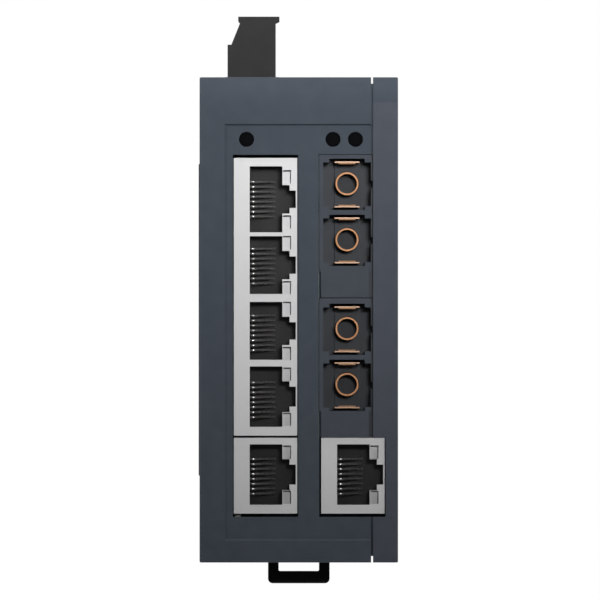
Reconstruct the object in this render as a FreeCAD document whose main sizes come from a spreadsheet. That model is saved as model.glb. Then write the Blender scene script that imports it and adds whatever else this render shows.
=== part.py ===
import FreeCAD, Part
import math
import os
import re
import Sketcher

# A DIN rail ethernet switch: a moulded housing and side cover hold six RJ45 ports, two
# twin-socket fibre transceivers, two boards, a pluggable power terminal and a rail latch.
# X is to the right seen from the front, Z is up, and the front faces -Y. The origin is
# the middle of the rail, on the plane where the rail touches the case.

SIZES = {
    # case
    "case_wide": 40.9,
    "case_tall": 100.0,
    "front_deep": 78.5,
    "wall": 2.0,
    "rear_wall": 2.5,
    "edge_round": 0.3,
    "slope_tall": 5.16,
    "slope_deep": 2.2,
    # foot that takes the rail
    "foot_deep": 6.5,
    "foot_short": 4.0,
    "rail_half": 17.5,
    "rail_sheet": 1.0,
    "rail_play": 0.3,
    "hook_reach": 1.6,
    "hook_bevel": 1.3,
    "hook_room": 0.8,
    "latch_room": 1.5,
    # joint between housing and side cover
    "cover_wide": 5.15,
    "joint_gap": 0.4,
    "joint_deep": 1.27,
    "lip_long": 2.0,
    "fit_gap": 0.05,
    # recessed front panel
    "panel_deep": 0.4,
    "panel_left": 5.1,
    "panel_top": 9.65,
    "panel_foot": 4.5,
    # status lamps
    "lamp_hole": 3.1,
    "lamp_pipe": 2.8,
    "lamp_sunk": 0.9,
    "lamp_arm": 9.0,
    "lamp_rise": 3.83,
    "lamp_left": -10.77,
    "lamp_middle_in": 13.4,
    "lamp_right_in": 8.77,
    "lamp_chip": 0.8,
    "lamp_stagger": 3.6,
    # black plate on the left side
    "plate_thick": 1.2,
    "plate_proud": 0.22,
    "plate_tall": 64.3,
    "plate_front": 8.0,
    "plate_rear": 8.0,
    # vents
    "vent_wide": 2.0,
    "vent_long": 24.0,
    "vent_pitch": 4.0,
    "vent_rear": 9.0,
    "vent_count": 7,
    # jacks
    "jack_left": -13.38,
    "jack_wide": 13.05,
    "jack_deep": 21.0,
    "jack_step": 0.2,
    "jack_sheet": 0.3,
    "jack_side": 0.19,
    "jack_over": 0.64,
    "jack_under": 0.69,
    "port_top": 24.83,
    "port_pitch": 13.55,
    "single_port": -31.88,
    "right_jack_in": 15.83,
    "bank_head": 8.53,
    "single_head": 7.57,
    "jack_foot": 8.04,
    # plug cavity of a port
    "cavity_in": 3.27,
    "cavity_wide": 6.71,
    "cavity_tall": 11.92,
    "cavity_deep": 13.0,
    "mid_wide": 1.49,
    "mid_tall": 5.85,
    "latch_wide": 1.3,
    "latch_tall": 3.57,
    "top_extra": 1.68,
    "low_extra": 0.53,
    # contact wires
    "wire_thick": 0.35,
    "wire_wide": 0.42,
    "wire_pitch": 1.024,
    "wire_count": 8,
    "wire_set": 4.55,
    "wire_reach": 5.1,
    # light windows of a port
    "light_in": 0.15,
    "light_wide": 1.65,
    "light_tall": 2.7,
    "light_half": 4.65,
    "light_sunk": 0.15,
    # fibre transceivers
    "fibre_in": 16.25,
    "fibre_wide": 12.0,
    "fibre_top": 34.0,
    "fibre_tall": 29.4,
    "fibre_trim": 1.1,
    "fibre_step": 29.87,
    "fibre_deep": 38.0,
    "fibre_nose": 2.3,
    "fibre_gap": 0.1,
    "tail_tall": 5.3,
    "tail_in": 0.38,
    # fibre sockets
    "socket_drop": 6.08,
    "socket_pitch": 11.54,
    "socket_in": 5.745,
    "socket_wide": 9.83,
    "socket_tall": 9.02,
    "socket_deep": 14.0,
    "notch_wide": 7.33,
    "notch_high": 0.77,
    "key_tall": 1.5,
    "key_reach": 0.4,
    "sleeve_lift": 0.15,
    "sleeve_set": 4.4,
    "sleeve_wide": 4.8,
    "sleeve_mouth": 4.0,
    "sleeve_mouth_deep": 2.5,
    "sleeve_bore": 2.5,
    "sleeve_bore_deep": 6.0,
    "sleeve_gap": 0.1,
    "hook_set": 2.4,
    "hook_arm": 0.3,
    "hook_nose": 0.27,
    "hook_nose_long": 2.2,
    "hook_half": 4.75,
    "hook_wide": 5.15,
    "hook_inner": 3.5,
    "hook_base": 1.2,
    # boards
    "board_thick": 1.6,
    "board_set": 2.9,
    "board_rear": 6.0,
    "board_drop": 7.6,
    "board_clear": 4.0,
    "port_board_clear": 6.0,
    "port_board_long": 45.6,
    "board_screw": 2.5,
    "screw_head": 4.6,
    "screw_head_tall": 1.4,
    "boss_wide": 6.0,
    "boss_hole": 2.9,
    "screw_in": 3.4,
    "screw_behind": 18.9,
    "board_hole": 2.9,
    # link between the boards
    "link_deep": 6.0,
    "link_tall": 22.0,
    "link_behind": 4.9,
    "link_above": 22.0,
    # parts on the main board
    "chip_wide": 14.0,
    "chip_thick": 1.3,
    "chip_behind": 4.9,
    "chip_level": 8.0,
    "coil_wide": 12.0,
    "coil_tall": 16.0,
    "coil_high": 6.0,
    "coil_behind": 22.9,
    "coil_above": 12.0,
    "coil_pitch": 19.0,
    "choke_wide": 9.0,
    "choke_high": 5.0,
    "choke_behind": 22.9,
    "choke_level": 23.0,
    "can_wide": 8.0,
    "can_high": 11.0,
    "can_behind": 41.9,
    "can_level": 24.0,
    "can_pitch": 10.0,
    # power terminal
    "plug_left": -14.74,
    "plug_right": -4.79,
    "plug_above": 12.71,
    "plug_set": 17.7,
    "plug_long": 16.8,
    "plug_shoulder": 5.8,
    "plug_ledge": 0.78,
    "plug_lean": 1.82,
    "plug_neck": 1.29,
    "plug_lip": 0.89,
    "plug_lip_left": 0.4,
    "plug_lip_right": 0.78,
    "plug_sunk": 6.0,
    "plug_gap": 0.1,
    "pole_pitch": 3.81,
    "pole_count": 4,
    "entry_wide": 3.4,
    "entry_long": 2.8,
    "entry_deep": 9.0,
    "entry_shift": 0.4,
    "slot_wide": 2.2,
    "slot_long": 0.9,
    "slot_deep": 4.0,
    "seat_wide": 4.0,
    "seat_long": 2.9,
    "seat_deep": 8.0,
    "clip_sheet": 0.4,
    "clip_tall": 7.0,
    "header_wall": 0.5,
    "header_wall_right": 0.6,
    "header_floor": 1.2,
    "header_proud": 0.2,
    "header_leg": 4.0,
    "header_play": 0.1,
    "pin_wide": 1.0,
    "pin_free": 5.0,
    "pin_drop": 3.0,
    # rail latch
    "slide_wide": 12.93,
    "slide_thick": 3.0,
    "slide_gap": 0.15,
    "slide_bite": 1.3,
    "slide_bevel": 2.2,
    "slide_below": 5.41,
    "slide_round": 1.0,
    "slide_land": 0.75,
    "loop_wide": 8.47,
    "loop_bar": 2.58,
    "loop_tall": 6.3,
    "stop_level": 34.0,
    "stop_tall": 1.5,
    "stop_wide": 3.2,
    "window_wide": 3.4,
    "spring_long": 12.0,
    "spring_wide": 2.6,
    "spring_wire": 0.4,
    "spring_turns": 7,
    "spring_corners": 10,
}

NAME = re.compile(r"[a-z]\w*")

# Radius of the rough ring that the constraints of a drawing pull into shape
ROUGH = 9

os.makedirs("parts", exist_ok=True)
doc = FreeCAD.newDocument("ethernet_switch")
sheet = doc.addObject("Spreadsheet::Sheet", "Sizes")
for row, (name, size) in enumerate(SIZES.items(), 1):
    sheet.set(f"A{row}", name)
    sheet.set(f"B{row}", str(size))
    sheet.setAlias(f"B{row}", name)
doc.recompute()

# Places that several pieces share, written in the names of the sheet
LEFT = "(-case_wide / 2)"
RIGHT = "(case_wide / 2)"
TOP = "(case_tall / 2)"
FLOOR = "(-case_tall / 2)"
JOINT = "(case_wide / 2 - cover_wide - joint_gap)"
COVER = "(case_wide / 2 - cover_wide)"
PANEL = "(front_deep - panel_deep)"
FACE = "(front_deep - panel_deep - jack_step)"
INNER_LEFT = "(wall - case_wide / 2)"
BOARD = "jack_left"
FIBRE_LEFT = "(case_wide / 2 - fibre_in)"
FIBRE_RIGHT = "(case_wide / 2 - fibre_in + fibre_wide)"
SOCKET_MID = "(case_wide / 2 - fibre_in + socket_in)"
RIGHT_JACK = "(case_wide / 2 - right_jack_in)"
PORT_BOARD = FIBRE_LEFT
LATCH_FRONT = "(rail_sheet + rail_play)"
PLUG_MID = "((plug_left + plug_right) / 2)"
PLUG_FRONT = "(front_deep - plug_set)"
POLE_FRONT = "(front_deep - plug_set - plug_long / 2 + pole_pitch * (pole_count - 1) / 2)"
HEADER_FLOOR = "(case_tall / 2 - plug_sunk - header_play)"
PLUG_TOP = "(case_tall / 2 + plug_above)"
BANK_HIGH = "(port_top + bank_head)"
LAMP_LEVEL = "(port_top + bank_head + lamp_rise)"
BOARD_FRONT = "(front_deep - board_set)"
BOARD_HEAD = "(case_tall / 2 - board_drop)"
BOARD_FOOT = "(board_clear - case_tall / 2)"
JACK_REAR = "(front_deep - panel_deep - jack_step - jack_deep)"
SLIDE_FOOT = "(-case_tall / 2 - slide_below)"


def bound(text):
    """Turn a size written in sheet names into an expression that reads the sheet."""
    return NAME.sub(lambda word: "Sizes." + word.group(), str(text))


def new_body(label):
    body = doc.addObject("PartDesign::Body", label)
    body.Label = label
    return body


def sketch(body, plane, height, loops, circles=()):
    """Draw closed outlines and circles at a height above one of the body's planes."""
    drawing = body.newObject("Sketcher::SketchObject", body.Label + "_outline")
    support = next(f for f in body.Origin.OriginFeatures if f.Role == plane + "_Plane")
    drawing.AttachmentSupport = [(support, "")]
    drawing.MapMode = "FlatFace"
    drawing.setExpression(".AttachmentOffset.Base.z", bound(height))
    held = []
    for points in loops:
        first = drawing.GeometryCount
        count = len(points)
        turns = [math.tau * i / count for i in range(count)]
        ring = [FreeCAD.Vector(ROUGH * math.cos(turn), ROUGH * math.sin(turn), 0) for turn in turns]
        for i in range(count):
            drawing.addGeometry(Part.LineSegment(ring[i], ring[(i + 1) % count]))
        for i in range(count):
            after = first + (i + 1) % count
            drawing.addConstraint(Sketcher.Constraint("Coincident", first + i, 2, after, 1))
        for i, (across, up) in enumerate(points):
            held.append(("DistanceX", first + i, 1, across))
            held.append(("DistanceY", first + i, 1, up))
    for across, up, radius in circles:
        ring = drawing.addGeometry(Part.Circle(FreeCAD.Vector(), FreeCAD.Vector(0, 0, 1), 1))
        held.append(("DistanceX", ring, 3, across))
        held.append(("DistanceY", ring, 3, up))
        rim = drawing.addConstraint(Sketcher.Constraint("Radius", ring, 1.0))
        drawing.setExpression(f"Constraints[{rim}]", bound(radius))
    for kind, line, end, place in held:
        spot = drawing.addConstraint(Sketcher.Constraint(kind, -1, 1, line, end, 1.0))
        drawing.setExpression(f"Constraints[{spot}]", bound(place))
    return drawing


def pad(body, drawing, length, backwards=False):
    """Raise a drawing along its plane's normal, or against it."""
    feature = body.newObject("PartDesign::Pad", body.Label + "_pad")
    feature.Profile = drawing
    feature.Reversed = backwards
    feature.setExpression("Length", bound(length))
    body.Tip = feature
    return feature


def pocket(body, drawing, length, backwards=False, taper=None):
    """Cut a drawing against its plane's normal, or along it."""
    feature = body.newObject("PartDesign::Pocket", body.Label + "_pocket")
    feature.Profile = drawing
    feature.Reversed = backwards
    feature.setExpression("Length", bound(length))
    if taper:
        feature.TaperAngle = taper
    body.Tip = feature
    return feature


def repeat(body, feature, axis, step, count):
    """Copy a feature along one of the body's axes, towards its positive end."""
    pattern = body.newObject("PartDesign::LinearPattern", body.Label + "_row")
    pattern.Originals = [feature]
    line = next(f for f in body.Origin.OriginFeatures if f.Role == axis + "_Axis")
    pattern.Direction = (line, [""])
    pattern.setExpression("Occurrences", bound(count))
    pattern.setExpression("Length", bound(f"({step}) * ({count} - 1)"))
    body.Tip = pattern
    return pattern


def edges_where(feature, test):
    """Name the edges of a feature whose every corner passes a test."""
    doc.recompute()
    return [f"Edge{i}" for i, edge in enumerate(feature.Shape.Edges, 1)
            if all(test(corner.Point) for corner in edge.Vertexes)]


def fillet(body, feature, test, radius):
    """Round the edges of a feature whose corners pass a test."""
    edges = edges_where(feature, test)
    rounding = body.newObject("PartDesign::Fillet", body.Label + "_fillet")
    rounding.Base = (feature, edges)
    rounding.setExpression("Radius", bound(radius))
    body.Tip = rounding
    return rounding


def rectangle(left, right, low, high):
    return [(left, low), (right, low), (right, high), (left, high)]


def case_profile():
    """Outline of the case seen from its right side, with the hook and rail channel."""
    foot_top = "(case_tall / 2 - foot_short)"
    hook_tip = "(rail_half - hook_reach)"
    return [
        ("-front_deep", FLOOR),
        ("-front_deep", f"{TOP} - slope_tall"),
        ("-front_deep + slope_deep", TOP),
        (0, TOP),
        (0, foot_top),
        ("foot_deep", foot_top),
        ("foot_deep", f"{hook_tip} + hook_bevel"),
        ("foot_deep - hook_bevel", hook_tip),
        (LATCH_FRONT, hook_tip),
        (LATCH_FRONT, "rail_half + hook_room"),
        (0, "rail_half + hook_room"),
        (0, "-rail_half - latch_room"),
        ("foot_deep", "-rail_half - latch_room"),
        ("foot_deep", f"-{foot_top}"),
        (0, f"-{foot_top}"),
        (0, FLOOR),
    ]


def inside_profile(inset, rear):
    """Outline of the room inside the case, a given distance in from its outer faces."""
    return [
        (f"-front_deep + {inset}", f"{FLOOR} + {inset}"),
        (f"-front_deep + {inset}", f"{TOP} - slope_tall - {inset} / 2"),
        (f"-front_deep + slope_deep + {inset} / 2", f"{TOP} - {inset}"),
        (f"-({rear})", f"{TOP} - {inset}"),
        (f"-({rear})", f"{FLOOR} + {inset}"),
    ]


# Positions of the four board screws, as distances in front of the seat and heights
SCREWS = [
    (f"{JACK_REAR} - screw_behind", f"{BOARD_HEAD} - screw_in"),
    ("board_rear + screw_in", f"{BOARD_HEAD} - screw_in"),
    (f"{JACK_REAR} - screw_behind", f"{BOARD_FOOT} + screw_in"),
    ("board_rear + screw_in", f"{BOARD_FOOT} + screw_in"),
]

LAMPS = ["lamp_left", f"{RIGHT} - lamp_middle_in", f"{RIGHT} - lamp_right_in"]

# Each port: its shift to the right, its centre height, its cavity height, extra step height
BANK_PORTS = [
    ("0", "port_top", "cavity_tall + top_extra", "0"),
    ("0", "port_top - port_pitch", "cavity_tall", "0"),
    ("0", "port_top - 2 * port_pitch", "cavity_tall", "0"),
    ("0", "port_top - 3 * port_pitch", "cavity_tall + low_extra", "low_extra"),
]
LEFT_PORT = ("0", "single_port", "cavity_tall + low_extra", "low_extra")
RIGHT_PORT = (f"({RIGHT_JACK} - jack_left)", "single_port", "cavity_tall + low_extra", "low_extra")

BANK_LOW = "(port_top - 3 * port_pitch - jack_foot)"
SINGLE_HIGH = "(single_port + single_head)"
SINGLE_LOW = "(single_port - jack_foot)"


def make_housing():
    body = new_body("housing")
    shell = pad(body, sketch(body, "YZ", LEFT, [case_profile()]), f"{JOINT} - {LEFT}")
    left_x = -sheet.case_wide / 2
    fillet(body, shell, lambda p: abs(p.x - left_x) < 1e-4, "edge_round")
    room = inside_profile("wall", "rear_wall")
    pocket(body, sketch(body, "YZ", JOINT, [room]), f"{JOINT} - {INNER_LEFT}")
    lip = inside_profile("(joint_deep + fit_gap)", "(rear_wall - wall + joint_deep + fit_gap)")
    tongue = sketch(body, "YZ", f"{JOINT} - wall", [lip, room])
    pad(body, tongue, "wall + joint_gap + lip_long - fit_gap")
    # board bosses on the left wall
    bosses = [(f"-({ahead})", up, "boss_wide / 2") for ahead, up in SCREWS]
    pad(body, sketch(body, "YZ", INNER_LEFT, [], bosses), f"{BOARD} - board_thick - {INNER_LEFT}")
    holes = [(f"-({ahead})", up, "boss_hole / 2") for ahead, up in SCREWS]
    drilled = sketch(body, "YZ", f"{BOARD} - board_thick", [], holes)
    pocket(body, drilled, f"{BOARD} - board_thick - {INNER_LEFT}")
    # recessed panel with sloping edges, open to the joint on its right
    outline = rectangle(f"{LEFT} + panel_left", f"{RIGHT}", f"{FLOOR} + panel_foot", f"{TOP} - panel_top")
    pocket(body, sketch(body, "XZ", "front_deep", [outline]), "panel_deep", taper=-45)
    # windows for the left jacks, the transceivers and the right jack
    left_window = rectangle("jack_left - jack_side", "jack_left + jack_wide + jack_side",
                            f"{SINGLE_LOW} - jack_under", f"{BANK_HIGH} + jack_over")
    fibre_window = rectangle(f"{FIBRE_LEFT} - fibre_gap", RIGHT, SINGLE_HIGH, "fibre_top + fibre_gap")
    right_window = rectangle(f"{RIGHT_JACK} - joint_gap", RIGHT,
                             f"{SINGLE_LOW} - jack_under", SINGLE_HIGH)
    for window in (left_window, fibre_window, right_window):
        pocket(body, sketch(body, "XZ", "front_deep", [window]), "wall")
    lamps = [(across, LAMP_LEVEL, "lamp_hole / 2") for across in LAMPS]
    pocket(body, sketch(body, "XZ", "front_deep", [], lamps), "wall")
    # recess for the black plate on the left side
    plate = rectangle("-front_deep + plate_front", "-plate_rear", "-plate_tall / 2", "plate_tall / 2")
    pocket(body, sketch(body, "YZ", LEFT, [plate]), "plate_thick - plate_proud", backwards=True)
    # opening for the power header in the top
    header = rectangle("plug_left - plug_gap - header_wall - fit_gap",
                       "plug_right + plug_gap + header_wall_right + fit_gap",
                       f"-{PLUG_FRONT} - plug_gap - header_wall - fit_gap",
                       f"-{PLUG_FRONT} + plug_long + plug_gap + header_wall + fit_gap")
    pocket(body, sketch(body, "XY", TOP, [header]), "wall")
    # vents in the top and the bottom
    vent_front = "-vent_rear - vent_count * vent_pitch"
    vent = rectangle(f"{JOINT} - vent_long - wall", f"{JOINT} - wall",
                     vent_front, f"{vent_front} + vent_wide")
    for height in (TOP, f"{FLOOR} + wall"):
        slot = pocket(body, sketch(body, "XY", height, [vent]), "wall")
        repeat(body, slot, "Y", "vent_pitch", "vent_count")
    # guide slot of the rail latch, with the stop that its spring sits on
    guide = rectangle("-slide_wide / 2 - slide_gap", "slide_wide / 2 + slide_gap",
                      f"{LATCH_FRONT} - slide_gap", f"{LATCH_FRONT} + slide_thick + slide_gap")
    pocket(body, sketch(body, "XY", "-rail_half", [guide]), "case_tall / 2 - rail_half")
    stop = rectangle("-stop_wide / 2", "stop_wide / 2",
                     f"{LATCH_FRONT} - slide_gap", f"{LATCH_FRONT} + slide_thick + slide_gap")
    pad(body, sketch(body, "XY", "-stop_level - stop_tall", [stop]), "stop_tall")
    return body


def make_side_cover():
    body = new_body("side_cover")
    shell = pad(body, sketch(body, "YZ", COVER, [case_profile()]), "cover_wide")
    right_x = sheet.case_wide / 2
    fillet(body, shell, lambda p: abs(p.x - right_x) < 1e-4, "edge_round")
    room = inside_profile("wall", "rear_wall")
    pocket(body, sketch(body, "YZ", COVER, [room]), "cover_wide - wall", backwards=True)
    seat = inside_profile("joint_deep", "(rear_wall - wall + joint_deep)")
    pocket(body, sketch(body, "YZ", COVER, [seat]), "lip_long", backwards=True)
    window = rectangle(LEFT, f"{RIGHT_JACK} + jack_wide + jack_side",
                       f"{SINGLE_LOW} - jack_under", SINGLE_HIGH)
    pocket(body, sketch(body, "XZ", "front_deep", [window]), "wall")
    return body


def make_side_plate():
    body = new_body("side_plate")
    plate = rectangle("-front_deep + plate_front", "-plate_rear", "-plate_tall / 2", "plate_tall / 2")
    pad(body, sketch(body, "YZ", f"{LEFT} - plate_proud", [plate]), "plate_thick")
    return body


def lamp_reach(number):
    """How far a light pipe runs back, so that the two right-hand arms pass each other."""
    return "lamp_arm + lamp_stagger" if number == 3 else "lamp_arm"


def make_status_light(number, across, board):
    """A light pipe that runs back from the front panel and turns left to its board."""
    body = new_body(f"status_light_{number}")
    reach = lamp_reach(number)
    ring = [(across, LAMP_LEVEL, "lamp_pipe / 2")]
    front = f"({PANEL} - lamp_sunk)"
    pad(body, sketch(body, "XZ", front, [], ring), reach, backwards=True)
    arm = rectangle(f"-{front} + {reach} - lamp_pipe", f"-{front} + {reach}",
                    f"{LAMP_LEVEL} - lamp_pipe / 2", f"{LAMP_LEVEL} + lamp_pipe / 2")
    pad(body, sketch(body, "YZ", f"{board} + lamp_chip", [arm]), f"{across} - {board} - lamp_chip")
    return body


def make_status_leds():
    """Three light sources on the boards, one at the end of each light pipe."""
    body = new_body("status_leds")
    for number, board in enumerate((BOARD, PORT_BOARD, PORT_BOARD), 1):
        middle = f"(-({PANEL} - lamp_sunk) + {lamp_reach(number)} - lamp_pipe / 2)"
        chip = rectangle(f"{middle} - lamp_chip", f"{middle} + lamp_chip",
                         f"{LAMP_LEVEL} - lamp_chip", f"{LAMP_LEVEL} + lamp_chip")
        pad(body, sketch(body, "YZ", board, [chip]), "lamp_chip")
    return body


def port_outline(port):
    """Stepped opening of one RJ45 port, seen from the front, with its latch to the right."""
    shift, height, tall, extra = port
    left = f"jack_left + cavity_in + {shift}"
    step = f"{left} + cavity_wide"
    mid = f"{step} + mid_wide"
    end = f"{mid} + latch_wide"
    half = f"({tall}) / 2"
    half_mid = f"(mid_tall + {extra}) / 2"
    half_latch = f"(latch_tall + {extra}) / 2"
    low = [(left, half), (step, half), (step, half_mid),
           (mid, half_mid), (mid, half_latch), (end, half_latch)]
    below = [(across, f"{height} - {out}") for across, out in low]
    above = [(across, f"{height} + {out}") for across, out in reversed(low)]
    return below + above


def light_outlines(port, play="0"):
    """The two light windows of a port, beside the middle step of its opening."""
    shift, height, tall, extra = port
    left = f"jack_left + cavity_in + cavity_wide + light_in + {shift} + {play}"
    right = f"jack_left + cavity_in + cavity_wide + light_in + light_wide + {shift} - {play}"
    half = f"(light_tall / 2 - {play})"
    return [rectangle(left, right, f"{height} + {side} * light_half - {half}",
                      f"{height} + {side} * light_half + {half}") for side in (-1, 1)]


def make_jack_shield(label, ports, low, high):
    """Folded steel shield round a jack, with its front face punched for the ports."""
    body = new_body(label)
    shift = ports[0][0]
    left = f"jack_left + {shift}"
    right = f"jack_left + jack_wide + {shift}"
    pad(body, sketch(body, "XZ", FACE, [rectangle(left, right, low, high)]), "jack_deep", backwards=True)
    room = rectangle(f"{left} + jack_sheet", f"{right} - jack_sheet",
                     f"{low} + jack_sheet", f"{high} - jack_sheet")
    rear = f"({FACE} - jack_deep)"
    pocket(body, sketch(body, "XZ", rear, [room]), "jack_deep - jack_sheet", backwards=True)
    openings = []
    for port in ports:
        openings += [port_outline(port)] + light_outlines(port)
    pocket(body, sketch(body, "XZ", FACE, openings), "jack_sheet")
    return body


def make_jack_body(label, ports, low, high):
    """Moulded insert of a jack, with the plug cavities and the light pipe channels."""
    body = new_body(label)
    shift = ports[0][0]
    left = f"jack_left + {shift} + jack_sheet"
    right = f"jack_left + jack_wide + {shift} - jack_sheet"
    front = f"({FACE} - jack_sheet)"
    block = rectangle(left, right, f"{low} + jack_sheet", f"{high} - jack_sheet")
    pad(body, sketch(body, "XZ", front, [block]), "jack_deep - jack_sheet", backwards=True)
    cavities = sketch(body, "XZ", front, [port_outline(port) for port in ports])
    pocket(body, cavities, "cavity_deep - jack_sheet")
    channels = []
    for port in ports:
        channels += light_outlines(port)
    pocket(body, sketch(body, "XZ", front, channels), "jack_deep - jack_sheet")
    return body


def make_contacts(label, port):
    """Eight sprung contact wires of one port, bent at the front and sloping back."""
    body = new_body(label)
    shift, height, tall, extra = port
    wall_x = f"(jack_left + cavity_in + {shift})"
    face = f"(-{FACE})"
    back = f"({face} + cavity_deep)"
    bend = f"({face} + wire_set)"
    profile = [
        (wall_x, back),
        (wall_x, f"{bend} + wire_thick"),
        (f"{wall_x} + wire_thick / 2", bend),
        (f"{wall_x} + wire_thick * 2", bend),
        (f"{wall_x} + wire_thick / 2 + wire_reach", f"{back} - wire_thick * 2"),
        (f"{wall_x} - wire_thick / 2 + wire_reach", f"{back} - wire_thick"),
        (f"{wall_x} + wire_thick * 1.5", f"{bend} + wire_thick * 1.5"),
        (f"{wall_x} + wire_thick", f"{bend} + wire_thick * 1.5"),
        (f"{wall_x} + wire_thick", back),
    ]
    low = f"{height} - wire_pitch * (wire_count - 1) / 2 - wire_wide / 2"
    first = pad(body, sketch(body, "XY", low, [profile]), "wire_wide")
    repeat(body, first, "Z", "wire_pitch", "wire_count")
    return body


def make_port_lights(label, port):
    """The two light pipes of one port."""
    body = new_body(label)
    front = f"({FACE} - light_sunk)"
    ends = sketch(body, "XZ", front, light_outlines(port, "fit_gap"))
    pad(body, ends, "jack_deep - light_sunk", backwards=True)
    return body


def make_transceiver(label, drop, trim):
    """Fibre transceiver block with two sockets and a flush front."""
    body = new_body(label)
    high = f"(fibre_top - {drop})"
    low = f"({high} - fibre_tall + {trim})"
    nose_right = f"({JOINT} - fit_gap / 2)"
    block = rectangle(FIBRE_LEFT, FIBRE_RIGHT, low, high)
    nose_rear = f"({PANEL} - fibre_nose)"
    pad(body, sketch(body, "XZ", nose_rear, [block]), "fibre_deep - fibre_nose", backwards=True)
    nose = [
        (f"{FIBRE_LEFT} + tail_in", low),
        (f"{nose_right} - tail_in", low),
        (f"{nose_right} - tail_in", f"{low} + tail_tall"),
        (nose_right, f"{low} + tail_tall"),
        (nose_right, high),
        (FIBRE_LEFT, high),
        (FIBRE_LEFT, f"{low} + tail_tall"),
        (f"{FIBRE_LEFT} + tail_in", f"{low} + tail_tall"),
    ]
    pad(body, sketch(body, "XZ", nose_rear, [nose]), "fibre_nose")
    left = f"({SOCKET_MID} - socket_wide / 2)"
    right = f"({SOCKET_MID} + socket_wide / 2)"
    for step in ("0", "socket_pitch"):
        middle = f"({high} - socket_drop - {step})"
        arm = "(notch_wide / 2)"
        edge = "(socket_tall / 2)"
        tip = "(socket_tall / 2 + notch_high)"
        upper = [(right, edge), (f"{SOCKET_MID} + {arm}", edge), (f"{SOCKET_MID} + {arm}", tip),
                 (f"{SOCKET_MID} - {arm}", tip), (f"{SOCKET_MID} - {arm}", edge), (left, edge)]
        key = [(right, f"{middle} - key_tall / 2"), (f"{right} + key_reach", f"{middle} - key_tall / 2"),
               (f"{right} + key_reach", f"{middle} + key_tall / 2"), (right, f"{middle} + key_tall / 2")]
        above = [(across, f"{middle} + {up}") for across, up in upper]
        below = [(across, f"{middle} - {up}") for across, up in reversed(upper)]
        pocket(body, sketch(body, "XZ", PANEL, [key + above + below]), "socket_deep")
    return body


def socket_middle(number):
    """Centre height of a fibre socket, counted from the top."""
    drops = ("0", "socket_pitch", "fibre_step", "fibre_step + socket_pitch")
    return f"(fibre_top - socket_drop - ({drops[number]}))"


def make_sleeve(number):
    """Turned sleeve that guides the fibre ferrule, with a wider mouth."""
    body = new_body(f"fibre_sleeve_{number + 1}")
    middle = f"({socket_middle(number)} + sleeve_lift)"
    tip = f"(-{PANEL} + sleeve_set)"
    root = f"(-{PANEL} + socket_deep)"
    front = f"({PANEL} - sleeve_set)"
    pad(body, sketch(body, "XZ", front, [], [(SOCKET_MID, middle, "sleeve_wide / 2")]),
        f"{root} - {tip}", backwards=True)
    mouth = [(SOCKET_MID, middle, "sleeve_mouth / 2")]
    bore = [(SOCKET_MID, middle, "sleeve_bore / 2")]
    pocket(body, sketch(body, "XZ", front, [], mouth), "sleeve_mouth_deep")
    pocket(body, sketch(body, "XZ", front, [], bore), "sleeve_mouth_deep + sleeve_bore_deep")
    return body


def make_socket_hooks(number):
    """Sprung hooks above and below a sleeve, on one base plate at the back of the socket."""
    body = new_body(f"socket_hooks_{number + 1}")
    middle = socket_middle(number)
    root = f"({PANEL} - socket_deep)"
    base = rectangle(f"{SOCKET_MID} - hook_wide / 2", f"{SOCKET_MID} + hook_wide / 2",
                     f"{middle} - hook_half", f"{middle} + hook_half")
    ring = [(SOCKET_MID, f"{middle} + sleeve_lift", "sleeve_wide / 2 + sleeve_gap")]
    pad(body, sketch(body, "XZ", root, [base], ring), "hook_base")
    for side in (-1, 1):
        outer = f"{middle} + {side} * hook_half"
        inner = f"{middle} + {side} * (hook_half - hook_arm)"
        arm = rectangle(f"{SOCKET_MID} - hook_wide / 2", f"{SOCKET_MID} + hook_wide / 2", inner, outer)
        pad(body, sketch(body, "XZ", root, [arm]), "socket_deep - hook_set")
        tip_y = f"(-{PANEL} + hook_set)"
        crest = f"{middle} + {side} * (hook_half - hook_arm - hook_nose)"
        nose = [(tip_y, inner),
                (f"{tip_y} + hook_nose", crest),
                (f"{tip_y} + hook_nose_long / 2", crest),
                (f"{tip_y} + hook_nose_long", inner)]
        pad(body, sketch(body, "YZ", f"{SOCKET_MID} - hook_inner / 2", [nose]), "hook_inner")
    return body


def make_main_board():
    body = new_body("main_board")
    outline = rectangle(f"-{BOARD_FRONT}", "-board_rear", BOARD_FOOT, BOARD_HEAD)
    holes = [(f"-({ahead})", up, "board_hole / 2") for ahead, up in SCREWS]
    pad(body, sketch(body, "YZ", f"{BOARD} - board_thick", [outline], holes), "board_thick")
    return body


def make_port_board():
    body = new_body("port_board")
    outline = rectangle(f"-{BOARD_FRONT}", f"-{BOARD_FRONT} + port_board_long",
                        f"{FLOOR} + port_board_clear", BOARD_HEAD)
    pad(body, sketch(body, "YZ", f"{PORT_BOARD} - board_thick", [outline]), "board_thick")
    return body


def make_board_screws():
    body = new_body("board_screws")
    heads = [(f"-({ahead})", up, "screw_head / 2") for ahead, up in SCREWS]
    pad(body, sketch(body, "YZ", BOARD, [], heads), "screw_head_tall")
    shafts = [(f"-({ahead})", up, "board_screw / 2") for ahead, up in SCREWS]
    pad(body, sketch(body, "YZ", f"{INNER_LEFT} + fit_gap", [], shafts),
        f"{BOARD} - {INNER_LEFT} - fit_gap")
    return body


def make_board_link():
    body = new_body("board_link")
    front = f"-({JACK_REAR} - link_behind)"
    outline = rectangle(front, f"{front} + link_deep",
                        f"{BOARD_FOOT} + link_above - link_tall / 2",
                        f"{BOARD_FOOT} + link_above + link_tall / 2")
    pad(body, sketch(body, "YZ", BOARD, [outline]), f"{PORT_BOARD} - board_thick - {BOARD}")
    return body


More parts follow.
